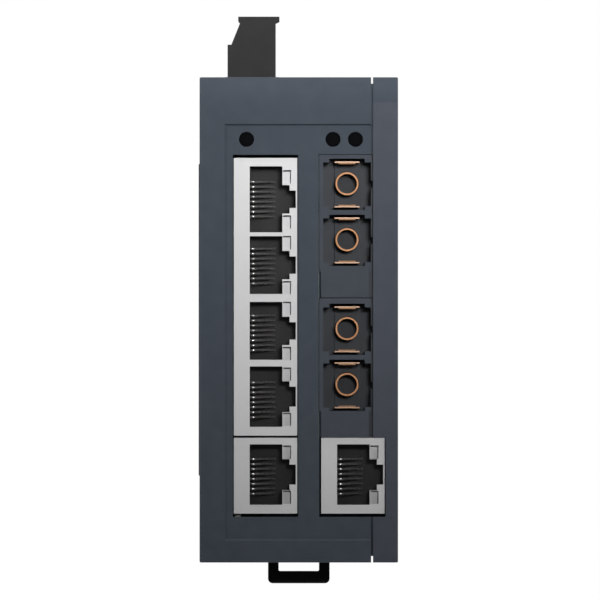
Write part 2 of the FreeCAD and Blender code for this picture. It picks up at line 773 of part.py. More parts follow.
def make_block(label, behind, level, deep, tall, high):
    """A rectangular component on the right face of the main board, behind the jacks."""
    body = new_body(label)
    front = f"-({JACK_REAR} - {behind})"
    outline = rectangle(front, f"{front} + {deep}", f"{level} - {tall} / 2", f"{level} + {tall} / 2")
    pad(body, sketch(body, "YZ", BOARD, [outline]), high)
    return body


def make_capacitor(number):
    body = new_body(f"capacitor_{number + 1}")
    ring = [(f"-({JACK_REAR} - can_behind)", f"can_level - {number} * can_pitch", "can_wide / 2")]
    pad(body, sketch(body, "YZ", BOARD, [], ring), "can_high")
    return body


def make_power_header():
    """Open-topped header that the power plug goes into, with two legs on the board."""
    body = new_body("power_header")
    front = f"-{PLUG_FRONT} - plug_gap"
    rear = f"-{PLUG_FRONT} + plug_long + plug_gap"
    outside = rectangle("plug_left - plug_gap - header_wall", "plug_right + plug_gap + header_wall_right",
                        f"{front} - header_wall", f"{rear} + header_wall")
    bottom = f"({HEADER_FLOOR} - header_floor)"
    pad(body, sketch(body, "XY", bottom, [outside]), f"{TOP} + header_proud - {bottom}")
    inside = rectangle("plug_left - plug_gap", "plug_right + plug_gap", front, rear)
    pocket(body, sketch(body, "XY", f"{TOP} + header_proud", [inside]),
           f"{TOP} + header_proud - {HEADER_FLOOR}")
    for start, end in ((f"{front} - header_wall", front), (rear, f"{rear} + header_wall")):
        leg = rectangle(BOARD, PLUG_MID, start, end)
        pad(body, sketch(body, "XY", f"{bottom} - header_leg", [leg]), "header_leg")
    holes = rectangle(f"{PLUG_MID} - pin_wide / 2", f"{PLUG_MID} + pin_wide / 2",
                      f"-{POLE_FRONT} - pin_wide / 2", f"-{POLE_FRONT} + pin_wide / 2")
    hole = pocket(body, sketch(body, "XY", HEADER_FLOOR, [holes]), "header_floor")
    repeat(body, hole, "Y", "pole_pitch", "pole_count")
    return body


def make_power_pins():
    """Bent pins that run from the main board up through the floor of the header."""
    body = new_body("power_pins")
    low = f"({HEADER_FLOOR} - header_floor - pin_drop)"
    left = f"({PLUG_MID} - pin_wide / 2)"
    right = f"({PLUG_MID} + pin_wide / 2)"
    profile = [
        (BOARD, low),
        (right, low),
        (right, f"{HEADER_FLOOR} + pin_free"),
        (left, f"{HEADER_FLOOR} + pin_free"),
        (left, f"{low} + pin_wide"),
        (BOARD, f"{low} + pin_wide"),
    ]
    pin = pad(body, sketch(body, "XZ", f"{POLE_FRONT} - pin_wide / 2", [profile]), "pin_wide")
    repeat(body, pin, "Y", "pole_pitch", "pole_count")
    return body


def make_power_plug():
    """Plug housing with a sloping release face, wire entries on top and seats below."""
    body = new_body("power_plug")
    bottom = f"({TOP} - plug_sunk)"
    shoulder = f"({PLUG_TOP} - plug_shoulder)"
    neck = f"({PLUG_TOP} - plug_neck)"
    lip = f"({PLUG_TOP} - plug_lip)"
    profile = [
        ("plug_left", bottom),
        ("plug_right", bottom),
        ("plug_right", neck),
        ("plug_right + plug_lip_right", lip),
        ("plug_right + plug_lip_right", PLUG_TOP),
        ("plug_left + plug_ledge + plug_lean - plug_lip_left", PLUG_TOP),
        ("plug_left + plug_ledge + plug_lean - plug_lip_left", lip),
        ("plug_left + plug_ledge + plug_lean", neck),
        ("plug_left + plug_ledge", shoulder),
        ("plug_left", shoulder),
    ]
    pad(body, sketch(body, "XZ", PLUG_FRONT, [profile]), "plug_long", backwards=True)
    entry_mid = f"{PLUG_MID} + entry_shift"
    entry = rectangle(f"{entry_mid} - entry_wide / 2", f"{entry_mid} + entry_wide / 2",
                      f"-{POLE_FRONT} - entry_long / 2", f"-{POLE_FRONT} + entry_long / 2")
    funnel = pocket(body, sketch(body, "XY", PLUG_TOP, [entry]), "entry_deep")
    repeat(body, funnel, "Y", "pole_pitch", "pole_count")
    slot = rectangle(f"-{POLE_FRONT} - slot_wide / 2", f"-{POLE_FRONT} + slot_wide / 2",
                     f"{shoulder} + slot_long", f"{shoulder} + slot_long * 2")
    release = pocket(body, sketch(body, "YZ", "plug_left", [slot]), "slot_deep", backwards=True)
    repeat(body, release, "Y", "pole_pitch", "pole_count")
    seat = rectangle(f"{PLUG_MID} - seat_wide / 2", f"{PLUG_MID} + seat_wide / 2",
                     f"-{POLE_FRONT} - seat_long / 2", f"-{POLE_FRONT} + seat_long / 2")
    well = pocket(body, sketch(body, "XY", bottom, [seat]), "seat_deep", backwards=True)
    repeat(body, well, "Y", "pole_pitch", "pole_count")
    return body


def make_plug_contacts():
    """Folded metal cages in the plug that grip the header pins."""
    body = new_body("plug_contacts")
    bottom = f"({TOP} - plug_sunk)"
    cage_low = f"({bottom} + seat_deep - clip_tall)"
    cage = rectangle(f"{PLUG_MID} - seat_wide / 2", f"{PLUG_MID} + seat_wide / 2",
                     f"-{POLE_FRONT} - seat_long / 2", f"-{POLE_FRONT} + seat_long / 2")
    hollow = rectangle(f"{PLUG_MID} - seat_wide / 2 + clip_sheet",
                       f"{PLUG_MID} + seat_wide / 2 - clip_sheet",
                       f"-{POLE_FRONT} - seat_long / 2 + clip_sheet",
                       f"-{POLE_FRONT} + seat_long / 2 - clip_sheet")
    clip = pad(body, sketch(body, "XY", cage_low, [cage, hollow]), "clip_tall")
    repeat(body, clip, "Y", "pole_pitch", "pole_count")
    return body


def make_rail_latch():
    """Flat slide that bites behind the lower edge of the rail, with a pull loop below."""
    body = new_body("rail_latch")
    tip = "(-rail_half + slide_bite)"
    front = LATCH_FRONT
    rear = f"({LATCH_FRONT} + slide_thick)"
    profile = [
        (front, SLIDE_FOOT),
        (rear, SLIDE_FOOT),
        (rear, f"{tip} - slide_bevel"),
        (f"{front} + slide_land", tip),
        (front, tip),
    ]
    bar = pad(body, sketch(body, "YZ", "-slide_wide / 2", [profile]), "slide_wide")
    low_z = -sheet.case_tall / 2 - sheet.slide_below
    half = sheet.slide_wide / 2
    fillet(body, bar, lambda p: abs(p.z - low_z) < 1e-4 and abs(abs(p.x) - half) < 1e-4,
           "slide_round")
    loop = rectangle("-loop_wide / 2", "loop_wide / 2",
                     f"{SLIDE_FOOT} + loop_bar", f"{SLIDE_FOOT} + loop_bar + loop_tall")
    pocket(body, sketch(body, "XZ", f"-{front}", [loop]), "slide_thick")
    window = rectangle("-window_wide / 2", "window_wide / 2",
                       "-stop_level - stop_tall - slide_gap", "-stop_level + spring_long")
    pocket(body, sketch(body, "XZ", f"-{front}", [window]), "slide_thick")
    return body


def make_latch_spring():
    """Coil spring between the housing's stop and the upper end of the latch window."""
    middle = sheet.rail_sheet + sheet.rail_play + sheet.slide_thick / 2
    radius = (sheet.spring_wide - sheet.spring_wire) / 2
    low = -sheet.stop_level + sheet.spring_wire / 2
    rise = sheet.spring_long - sheet.spring_wire
    corners = int(sheet.spring_corners)
    steps = int(corners * sheet.spring_turns)
    path = []
    for step in range(steps + 1):
        turn = math.tau * step / corners
        height = low + rise * step / steps
        path.append(FreeCAD.Vector(radius * math.cos(turn), middle + radius * math.sin(turn), height))
    spine = doc.addObject("Part::Feature", "spring_path")
    spine.Shape = Part.makePolygon(path)
    section = doc.addObject("Part::RegularPolygon", "spring_section")
    section.Polygon = 6
    section.setExpression("Circumradius", bound("spring_wire / 2"))
    along = (path[1] - path[0]).normalize()
    section.Placement = FreeCAD.Placement(path[0], FreeCAD.Rotation(FreeCAD.Vector(0, 0, 1), along))
    spring = doc.addObject("Part::Sweep", "latch_spring")
    spring.Sections = [section]
    spring.Spine = (spine, [])
    spring.Solid = True
    spring.Transition = "Right corner"
    spring.Label = "latch_spring"
    return spring


pieces = [make_housing(), make_side_cover(), make_side_plate()]
for number, (across, board) in enumerate(zip(LAMPS, (BOARD, PORT_BOARD, PORT_BOARD)), 1):
    pieces.append(make_status_light(number, across, board))
pieces.append(make_status_leds())
jacks = [
    ("port_bank", BANK_PORTS, BANK_LOW, BANK_HIGH),
    ("left_jack", [LEFT_PORT], SINGLE_LOW, SINGLE_HIGH),
    ("right_jack", [RIGHT_PORT], SINGLE_LOW, SINGLE_HIGH),
]
number = 0
for label, ports, low, high in jacks:
    pieces.append(make_jack_shield(f"{label}_shield", ports, low, high))
    pieces.append(make_jack_body(f"{label}_body", ports, low, high))
    for port in ports:
        number += 1
        pieces.append(make_contacts(f"port_contacts_{number}", port))
        pieces.append(make_port_lights(f"port_lights_{number}", port))
pieces.append(make_transceiver("upper_transceiver", "0", "0"))
pieces.append(make_transceiver("lower_transceiver", "fibre_step", "fibre_trim"))
for number in range(4):
    pieces.append(make_sleeve(number))
    pieces.append(make_socket_hooks(number))
pieces += [make_main_board(), make_port_board(), make_board_screws(), make_board_link()]
chip = make_block("switch_chip", "chip_behind", "chip_level", "chip_wide", "chip_wide", "chip_thick")
pieces.append(chip)
for number in range(3):
    level = f"({BOARD_FOOT} + coil_above + {number} * coil_pitch)"
    coil = f"transformer_{number + 1}"
    pieces.append(make_block(coil, "coil_behind", level, "coil_wide", "coil_tall", "coil_high"))
choke = make_block("power_choke", "choke_behind", "choke_level", "choke_wide", "choke_wide", "choke_high")
pieces.append(choke)
pieces += [make_capacitor(0), make_capacitor(1)]
pieces += [make_power_header(), make_power_pins(), make_power_plug(), make_plug_contacts()]
pieces += [make_rail_latch(), make_latch_spring()]

doc.recompute()
for thing in doc.Objects:
    if "Invalid" in thing.State or "Error" in thing.State:
        raise RuntimeError(f"{thing.Label} did not recompute")
for piece in pieces:
    if piece.Shape.isNull() or not piece.Shape.isValid():
        raise RuntimeError(f"{piece.Label} has no valid shape")
    piece.Shape.exportStep(f"parts/{piece.Label}.step")
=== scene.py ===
import math

import bpy
from mathutils import Matrix, Vector


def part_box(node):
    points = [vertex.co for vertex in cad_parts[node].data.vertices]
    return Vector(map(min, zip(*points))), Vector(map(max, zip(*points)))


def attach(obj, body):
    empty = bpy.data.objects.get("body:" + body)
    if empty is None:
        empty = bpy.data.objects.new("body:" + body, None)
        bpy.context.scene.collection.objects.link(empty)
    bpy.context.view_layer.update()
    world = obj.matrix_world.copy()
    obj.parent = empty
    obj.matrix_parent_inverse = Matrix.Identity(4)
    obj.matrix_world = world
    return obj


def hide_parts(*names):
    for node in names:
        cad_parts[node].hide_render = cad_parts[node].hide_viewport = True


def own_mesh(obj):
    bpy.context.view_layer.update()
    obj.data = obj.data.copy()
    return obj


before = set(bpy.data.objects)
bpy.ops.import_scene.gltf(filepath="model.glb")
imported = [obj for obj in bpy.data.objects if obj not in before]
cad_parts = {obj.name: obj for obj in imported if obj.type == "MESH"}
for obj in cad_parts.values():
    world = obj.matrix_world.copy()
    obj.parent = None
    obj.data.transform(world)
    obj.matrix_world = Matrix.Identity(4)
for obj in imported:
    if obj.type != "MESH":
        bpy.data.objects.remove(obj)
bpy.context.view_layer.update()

bpy.ops.object.select_all(action="DESELECT")

# Housing
# The main moulding: front panel, left wall, top, bottom and the rear foot that takes the
# rail. It is injection moulded in slate grey nylon with a fine spark-eroded grain. A shadow
# gap runs along the top and the left edge of the recessed panel.
MM = 0.001
WELD = 0.001
HOUSING_EDGE = 0.06
PANEL_DEEP = 0.38
PANEL_HALF = 15
PANEL_TOP_LOW = 39
PANEL_TOP_HIGH = 41
PANEL_TOP_GAP = 1.5
PANEL_SIDE_GAP = 1.4
GAP_RIM = 0.01


class Signal:
    """A shader socket that takes part in plain arithmetic within one material."""

    def __init__(self, tree, socket):
        self.tree = tree
        self.socket = socket

    def node(self, kind, settings, sockets, output=0):
        """Add a node, set it up, fill its sockets with values or signals, give one output."""
        made = self.tree.nodes.new(kind)
        for name, value in settings.items():
            setattr(made, name, value)
        for name, value in sockets.items():
            if isinstance(value, Signal):
                self.tree.links.new(value.socket, made.inputs[name])
            else:
                made.inputs[name].default_value = value
        return Signal(self.tree, made.outputs[output]) if made.outputs else None

    def maths(self, operation, first, second):
        """A number worked out from two signals or values."""
        return self.node("ShaderNodeMath", {"operation": operation}, {0: first, 1: second})

    def __add__(self, other):
        return self.maths("ADD", self, other)

    def __sub__(self, other):
        return self.maths("SUBTRACT", self, other)

    def __mul__(self, other):
        return self.maths("MULTIPLY", self, other)

    def __radd__(self, other):
        return self.maths("ADD", other, self)

    def __rsub__(self, other):
        return self.maths("SUBTRACT", other, self)

    def __gt__(self, other):
        return self.maths("GREATER_THAN", self, other)

    def __lt__(self, other):
        return self.maths("LESS_THAN", self, other)


def colour(red, green, blue):
    """A colour given as it looks on a screen, 0 to 255, in the shader's own numbers."""
    shades = [level / 255 for level in (red, green, blue)]
    return tuple(((shade + 0.055) / 1.055) ** 2.4 if shade > 0.04 else shade / 12.92
                 for shade in shades) + (1,)


def new_finish(name):
    """An empty material and the object coordinates that its patterns follow."""
    finish = bpy.data.materials.new(name)
    finish.use_nodes = True
    finish.node_tree.nodes.clear()
    place = finish.node_tree.nodes.new("ShaderNodeTexCoord")
    return finish, Signal(finish.node_tree, place.outputs["Object"])


def coat_with(finish, place, **sockets):
    """Put the main shader on a material, with the values and signals of its sockets."""
    named = {name.replace("_", " "): value for name, value in sockets.items()}
    surface = place.node("ShaderNodeBsdfPrincipled", {}, named)
    place.node("ShaderNodeOutputMaterial", {}, {"Surface": surface})
    return finish


def specks(place, size_mm, detail=2.0):
    """Noise from 0 to 1 whose specks are about so many millimetres wide."""
    return place.node("ShaderNodeTexNoise", {},
                      {"Vector": place, "Scale": 1000 / size_mm, "Detail": detail})


def blend(place, share, first, second):
    """A colour between two, by a signal from 0 to 1."""
    return place.node("ShaderNodeMix", {"data_type": "RGBA"}, {0: share, 6: first, 7: second}, 2)


def relief(place, height, depth_mm):
    """A surface normal that follows a height signal from 0 to 1."""
    return place.node("ShaderNodeBump", {}, {"Height": height, "Distance": depth_mm * MM})


def moulded(name, shade, paler, grain_mm=0.25, grain_deep=0.012, rough=0.5, uneven=0.12,
            shine=0.35):
    """Moulded plastic: fine grain, faint clouds of paler colour and slightly uneven gloss."""
    finish, place = new_finish(name)
    grain = specks(place, grain_mm)
    cloud = specks(place, 18, 4)
    worn = specks(place, 3, 3)
    return coat_with(
        finish, place,
        Base_Color=blend(place, cloud * 0.6 + grain * 0.4, colour(*shade), colour(*paler)),
        Roughness=rough + (worn - 0.5) * uneven + (grain - 0.5) * 0.08,
        Specular_IOR_Level=shine,
        Normal=relief(place, grain, grain_deep))


def finished(node, edge_mm, smooth=40):
    """A copy of a CAD piece, merged into whole faces, with its edges broken as made."""
    bpy.ops.object.select_all(action="DESELECT")
    piece = bpy.data.objects.new(node + "_finished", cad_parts[node].data.copy())
    bpy.context.scene.collection.objects.link(piece)
    piece.data.materials.clear()
    piece.select_set(True)
    bpy.context.view_layer.objects.active = piece
    bpy.ops.object.mode_set(mode="EDIT")
    bpy.ops.mesh.select_all(action="SELECT")
    bpy.ops.mesh.remove_doubles(threshold=WELD * MM)
    bpy.ops.mesh.dissolve_limited(angle_limit=math.radians(1))
    bpy.ops.object.mode_set(mode="OBJECT")
    edge = piece.modifiers.new("edge", "BEVEL")
    edge.width = edge_mm * MM
    edge.segments = 2
    edge.limit_method = "ANGLE"
    edge.angle_limit = math.radians(35)
    bpy.ops.object.modifier_apply(modifier="edge")
    bpy.ops.object.shade_smooth_by_angle(angle=math.radians(smooth))
    flat = piece.modifiers.new("flat", "WEIGHTED_NORMAL")
    flat.keep_sharp = True
    bpy.ops.object.modifier_apply(modifier="flat")
    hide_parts(node)
    return piece


def pick(piece, test):
    """Select the faces of a piece whose centre and normal pass a test, in edit mode."""
    bpy.ops.object.mode_set(mode="EDIT")
    bpy.ops.mesh.select_mode(type="FACE")
    bpy.ops.mesh.select_all(action="DESELECT")
    bpy.ops.object.mode_set(mode="OBJECT")
    for face in piece.data.polygons:
        face.select = bool(test(face.center, face.normal))
    bpy.ops.object.mode_set(mode="EDIT")


def hand_over(piece, body, slot, *finishes):
    """Give a piece its materials and its CAD body. The slot is not used."""
    for finish in finishes:
        piece.data.materials.append(finish)
    piece.select_set(False)
    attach(piece, body)


def open_gap(inward, lowest, deep):
    """Sink the broken edge of the recessed panel, on the side that looks inward."""
    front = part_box("housing")[0].y
    pick(housing, lambda centre, normal: centre.y < front + PANEL_DEEP * MM
         and -0.9 < normal.y < -0.3 and normal.dot(Vector(inward)) > 0.5
         and abs(centre.x) < PANEL_HALF * MM and lowest < centre.z < PANEL_TOP_HIGH * MM)
    bpy.ops.mesh.inset(thickness=GAP_RIM * MM)
    bpy.ops.mesh.extrude_region_move(TRANSFORM_OT_translate={"value": (0, deep * MM, 0)})
    bpy.ops.object.mode_set(mode="OBJECT")


case_nylon = moulded("slate_nylon", (36, 46, 57), (43, 52, 62), rough=0.95, shine=1.0)
housing = finished("housing", HOUSING_EDGE)
open_gap((0, 0, -1), PANEL_TOP_LOW * MM, PANEL_TOP_GAP)
open_gap((1, 0, 0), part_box("housing")[0].z, PANEL_SIDE_GAP)
hand_over(housing, "case", "case_plastic", case_nylon)

# Side cover
# The shallow shell that closes the case on the right. It is moulded in the same nylon and
# pushed on over the housing's tongue, which leaves the dark joint line down the front. Its
# colour is a paler copy of the housing's, painted light for the lamp on its right, except on
# the slope along its top. Behind the front the joint opens a little at the top and the foot,
# and light comes through there.
NOTCH_TALL = 1.27
NOTCH_WIDE = 0.36
NOTCH_START = 2.5

# Painted light: the cover's paler colour stands for more light falling on the right
cover_nylon_painted_light = moulded("cover_nylon_painted_light", (47, 53, 64), (54, 59, 69), rough=0.95, shine=1.0)
cover = finished("side_cover", HOUSING_EDGE)
low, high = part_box("side_cover")
for end in (low.z, high.z):
    bpy.ops.object.select_all(action="DESELECT")
    bpy.ops.mesh.primitive_cube_add(
        size=2, location=(low.x, (low.y + high.y) / 2 + NOTCH_START * MM, end),
        scale=(NOTCH_WIDE * MM, (high.y - low.y) / 2, NOTCH_TALL * MM))
    notch = bpy.context.object
    bpy.ops.object.transform_apply(location=True, rotation=True, scale=True)
    cover.select_set(True)
    bpy.context.view_layer.objects.active = cover
    opened = cover.modifiers.new("opened", "BOOLEAN")
    opened.object = notch
    bpy.ops.object.modifier_apply(modifier="opened")
    bpy.data.objects.remove(notch)
hand_over(cover, "case", "case_plastic", cover_nylon_painted_light, case_nylon)
# The slope along its top keeps the housing's own colour, without the painted light
for face in cover.data.polygons:
    if face.normal.y < -0.5 and face.normal.z > 0.1:
        face.material_index = 1

# Side plate
# The thin black plate let into the left side, where such devices carry their data. It is
# cut from matt polycarbonate sheet and bonded in, and is left bare.
black_sheet = moulded("black_sheet", (20, 21, 22), (26, 27, 28), grain_mm=0.6,
                      grain_deep=0.006, rough=0.42, uneven=0.1)
plate = finished("side_plate", edge_mm=0.1)
hand_over(plate, "case", "black_plastic", black_sheet)

# Status lights
# Three light pipes behind round holes in the panel, moulded in smoked polycarbonate. Each
# turns to its board, where a small clear light source sits against its end.
LENS_DOME = 0.35
LENS_RIM = 0.45
LENS_RING = 0.4
LENS_FACE = 0.05


def smoked(name):
    """Dark clear plastic: nearly black, polished, with faint flow marks inside."""
    finish, place = new_finish(name)
    flow = specks(place, 1.4, 3)
    return coat_with(
        finish, place,
        Base_Color=blend(place, flow, colour(6, 7, 9), colour(11, 11, 14)),
        Roughness=0.8 + flow * 0.1, Specular_IOR_Level=0.04,
        Normal=relief(place, specks(place, 0.9), 0.004))


lens_finish = smoked("smoked_polycarbonate")
for number in (1, 2, 3):
    lamp = finished(f"status_light_{number}", edge_mm=0.08)
    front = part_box(f"status_light_{number}")[0].y
    pick(lamp, lambda centre, normal: normal.y < -0.99 and centre.y < front + LENS_FACE * MM)
    bpy.ops.mesh.inset(thickness=LENS_RIM * MM)
    bpy.ops.transform.translate(value=(0, -LENS_DOME * MM / 2, 0))
    bpy.ops.mesh.inset(thickness=LENS_RING * MM)
    bpy.ops.transform.translate(value=(0, -LENS_DOME * MM / 4, 0))
    bpy.ops.object.mode_set(mode="OBJECT")
    hand_over(lamp, "case", "smoked_lens", lens_finish)

source_finish, place = new_finish("clear_epoxy")
glow = specks(place, 0.5)
coat_with(source_finish, place,
          Base_Color=blend(place, glow, colour(206, 200, 170), colour(232, 228, 206)),
          Roughness=0.2 + glow * 0.15, Normal=relief(place, glow, 0.01))
sources = finished("status_leds", edge_mm=0.12)
hand_over(sources, "case", "led_epoxy", source_finish)

# Jack shields
# Folded sheet steel round the four-port jack and the two single ones, nickel plated to a
# satin face, with the ports and the light windows punched through.
SHIELD_EDGE = 0.04


def plated(name, shade, duller, metal, rough, shine=0.5):
    """Plated sheet: a rolled grain down the strip, faint stains and a satin gloss."""
    finish, place = new_finish(name)
    along = place.node("ShaderNodeMapping", {}, {0: place, "Scale": (1, 1, 0.08)})
    rolled = specks(along, 0.2, 3)
    stain = specks(place, 7, 4)
    return coat_with(
        finish, place,
        Base_Color=blend(place, stain * 0.7 + rolled * 0.3, colour(*shade), colour(*duller)),
        Metallic=metal + (stain - 0.5) * 0.06,
        Roughness=rough + (rolled - 0.5) * 0.12 + (stain - 0.5) * 0.1,
        Specular_IOR_Level=shine,
        Normal=relief(place, rolled, 0.0015))


nickel = plated("satin_nickel", (221, 221, 221), (213, 213, 213), metal=0.05, rough=0.75,
                shine=0.2)
for node in ("port_bank_shield", "left_jack_shield", "right_jack_shield"):
    shield = finished(node, SHIELD_EDGE)
    hand_over(shield, "case", "jack_steel", nickel)

# Jack inserts
# Black moulded blocks inside the shields. They hold the plug cavities, the contact wires
# and the channels of the light pipes, and are glass-filled so that soldering is safe.
insert_plastic = moulded("jack_insert_plastic", (33, 33, 33), (39, 39, 39), grain_mm=0.3,
                         grain_deep=0.01, rough=0.6, shine=0.2)
for node in ("port_bank_body", "left_jack_body", "right_jack_body"):
    insert = finished(node, edge_mm=0.05)
    hand_over(insert, "case", "jack_plastic", insert_plastic)

# Contact wires
# Eight sprung wires in each port, drawn from bronze and gilded. Each comes forward along
# the wall of the cavity, turns back at its tip and slopes across to meet the plug. The
# sags are how far each port's wires sit below the middle of their room.
WIRE = 0.19
WIRE_TURN = 0.42
WIRE_PITCH = 1.024
WIRES = 8
WIRE_CLEAR = 0.06
WIRE_BEND = 150
WIRE_REACH = 4.13
WIRE_SAG = (-0.07, 0.19, 0.42, 0.66, 0.41, 0.41)

gilt_finish, place = new_finish("bright_gilding")
touch = specks(place, 0.3)
coat_with(gilt_finish, place,
          Base_Color=blend(place, touch, colour(246, 245, 242), colour(234, 232, 226)),
          Metallic=0.78 + touch * 0.06, Roughness=0.24 + touch * 0.08,
          Normal=relief(place, touch, 0.002))


def bend_wire(root, tip):
    """One contact wire as a bent rod: forward from its root, round its tip and back."""
    bpy.ops.object.select_all(action="DESELECT")
    bpy.ops.mesh.primitive_circle_add(vertices=10, radius=WIRE * MM, fill_type="NGON",
                                      location=root, rotation=(math.radians(90), 0, 0))
    wire = bpy.context.object
    bpy.ops.object.transform_apply(location=True, rotation=True, scale=True)
    bpy.ops.object.mode_set(mode="EDIT")
    bpy.ops.mesh.select_all(action="SELECT")
    turn = tip + (WIRE + WIRE_TURN) * MM
    bpy.ops.mesh.extrude_region_move(TRANSFORM_OT_translate={"value": (0, turn - root.y, 0)})
    bpy.ops.mesh.spin(steps=8, angle=-math.radians(WIRE_BEND), axis=(0, 0, 1),
                      center=(root.x + WIRE_TURN * MM, turn, root.z))
    across = WIRE_REACH * MM
    back = across / math.tan(math.radians(180 - WIRE_BEND))
    bpy.ops.mesh.extrude_region_move(TRANSFORM_OT_translate={"value": (across, back, 0)})
    bpy.ops.mesh.select_all(action="SELECT")
    bpy.ops.mesh.remove_doubles(threshold=WELD * MM)
    bpy.ops.mesh.normals_make_consistent(inside=False)
    bpy.ops.object.mode_set(mode="OBJECT")
    return wire


low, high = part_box("port_contacts_1")
middle = (low + high) / 2
pattern = bend_wire(Vector((low.x + (WIRE + WIRE_CLEAR) * MM, high.y, middle.z)), low.y)
for port, sag in enumerate(WIRE_SAG, start=1):
    shift = sum(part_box(f"port_contacts_{port}"), Vector()) / 2 - middle
    bpy.ops.object.select_all(action="DESELECT")
    for count in range(WIRES):
        wire = bpy.data.objects.new(f"contact_wires_{port}", pattern.data.copy())
        rise = ((count - (WIRES - 1) / 2) * WIRE_PITCH - sag) * MM
        wire.data.transform(Matrix.Translation(shift + Vector((0, 0, rise))))
        bpy.context.scene.collection.objects.link(wire)
        wire.select_set(True)
        bpy.context.view_layer.objects.active = wire
    bpy.ops.object.join()
    contacts = bpy.context.object
    bpy.ops.object.shade_smooth_by_angle(angle=math.radians(50))
    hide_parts(f"port_contacts_{port}")
    hand_over(contacts, "case", "gilt_wire", gilt_finish)
bpy.data.objects.remove(pattern)

# Port light pipes
# Two clear acrylic pipes beside each port, frosted at the front so that the light spreads.
# They are pushed in from the rear, end in their channels a little behind the shield and lean
# on the lower left walls, which leaves a thin dark gap above and to the right.
PIPE_STEP = 2.8
PIPE_LEAN = 0.1
PIPE_SINK = 0.24
PIPE_FACE = 0.03

frost_finish, place = new_finish("frosted_acrylic")
frost = specks(place, 0.12)
milk = specks(place, 1.2, 3)
coat_with(frost_finish, place,
          Base_Color=blend(place, milk, colour(224, 224, 225), colour(233, 233, 234)),
          Roughness=0.5 + (frost - 0.5) * 0.2, Specular_IOR_Level=0.08,
          Normal=relief(place, frost, 0.006))
for port in range(1, 7):
    pipes = finished(f"port_lights_{port}", edge_mm=0.02)
    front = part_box(f"port_lights_{port}")[0].y
    pick(pipes, lambda centre, normal: normal.y < -0.1 and centre.y < front + PIPE_FACE * MM)
    bpy.ops.transform.translate(value=(-PIPE_LEAN * MM, PIPE_STEP * MM, -PIPE_SINK * MM))
    bpy.ops.object.mode_set(mode="OBJECT")
    hand_over(pipes, "case", "light_pipe", frost_finish)

# Fibre transceivers
# Two sealed blocks with twin square sockets, moulded in slate plastic to match the panel.
# Their noses lie flush with it, and they are soldered to the port board beside them. The
# faces inside the sockets are painted a paler, less blue grey of the same plastic, a painted
# light for how the light falls deep inside them.
SOCKETS_MIDDLE = 5.745
SOCKETS_HALF = 5.4
SOCKET_FLOOR = 1.0
SOCKET_ROOF = 0.6
SOCKET_START = 0.1
SOCKET_END = 14.2
LOWER_RISE = 0.3
NEAR = 0.01

block_plastic = moulded("transceiver_plastic", (40, 47, 57), (46, 53, 62), grain_mm=0.25,
                        grain_deep=0.01, rough=0.95, shine=1.0)
# Painted light: the paler, less blue grey of the socket insides and the hooks' rear
socket_grey_painted_light = moulded("socket_grey_painted_light", (55, 57, 61), (61, 63, 67), grain_mm=0.3,
                         grain_deep=0.012, rough=0.65, shine=0.25)
for node in ("upper_transceiver", "lower_transceiver"):
    block = finished(node, edge_mm=0.04)
    low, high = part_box(node)
    hand_over(block, "case", "transceiver_plastic", block_plastic, socket_grey_painted_light)
    for face in block.data.polygons:
        place = face.center
        ahead = low.y + SOCKET_START * MM < place.y < low.y + SOCKET_END * MM
        beside = abs(place.x - (low.x + SOCKETS_MIDDLE * MM)) < SOCKETS_HALF * MM
        level = low.z + SOCKET_FLOOR * MM < place.z < high.z - SOCKET_ROOF * MM
        if ahead and beside and level:
            face.material_index = 1
    if node == "lower_transceiver":
        pick(block, lambda centre, normal: normal.z > 0.99 and centre.z > high.z - NEAR * MM)
        bpy.ops.transform.translate(value=(0, 0, LOWER_RISE * MM))
        bpy.ops.object.mode_set(mode="OBJECT")

# Fibre sleeves
# A turned bronze sleeve in the middle of each socket guides the ferrule of the plug. Inside
# it and on its inner rim it is painted dark grey, a painted shade for the bore, and its wide
# mouth runs on nearly to the end of the bore.
SLEEVE_MOUTH = 2.5
SLEEVE_RUN = 5.9
STEP_NEAR = 0.2
BORE_RADIUS = 2.07
BORE_START = 0.02


def turned(name, shade, paler, rough, metal):
    """Turned metal: fine tool rings and small stains."""
    finish, place = new_finish(name)
    along = place.node("ShaderNodeMapping", {}, {0: place, "Scale": (0.05, 1, 0.05)})
    rings = specks(along, 0.12)
    stain = specks(place, 1.5, 3)
    return coat_with(
        finish, place,
        Base_Color=blend(place, stain, colour(*shade), colour(*paler)),
        Metallic=metal + (stain - 0.5) * 0.1,
        Roughness=rough + (rings - 0.5) * 0.14,
        Normal=relief(place, rings, 0.002))


sleeve_bronze = turned("sleeve_bronze", (160, 110, 70), (172, 122, 80), rough=0.55, metal=0.3)
sleeve_dark = turned("sleeve_bore_painted_shade", (52, 53, 56), (60, 61, 64), rough=0.85, metal=0.02)
for number in (1, 2, 3, 4):
    node = f"fibre_sleeve_{number}"
    sleeve = finished(node, edge_mm=0.06, smooth=50)
    low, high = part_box(node)
    pick(sleeve, lambda centre, normal: normal.y < -0.3
         and abs(centre.y - low.y - SLEEVE_MOUTH * MM) < STEP_NEAR * MM)
    bpy.ops.transform.translate(value=(0, SLEEVE_RUN * MM, 0))
    bpy.ops.object.mode_set(mode="OBJECT")
    hand_over(sleeve, "case", "copper_sleeve", sleeve_bronze, sleeve_dark)
    axis_x, axis_z = (low.x + high.x) / 2, (low.z + high.z) / 2
    # Painted shade: faces in the bore and on the inner rim take the dark grey
    for face in sleeve.data.polygons:
        out = math.hypot(face.center.x - axis_x, face.center.z - axis_z)
        if out < BORE_RADIUS * MM and face.center.y > low.y + BORE_START * MM:
            face.material_index = 1

# Socket hooks
# The pair of sprung hooks that hold a fibre plug, on one base plate at the back of the
# socket. They are moulded in copper-coloured plastic, with a nose that the plug rides over.
# Behind their first 2.3 mm they take the sockets' paler grey, which is painted light.
HOOK_COPPER = 2.3

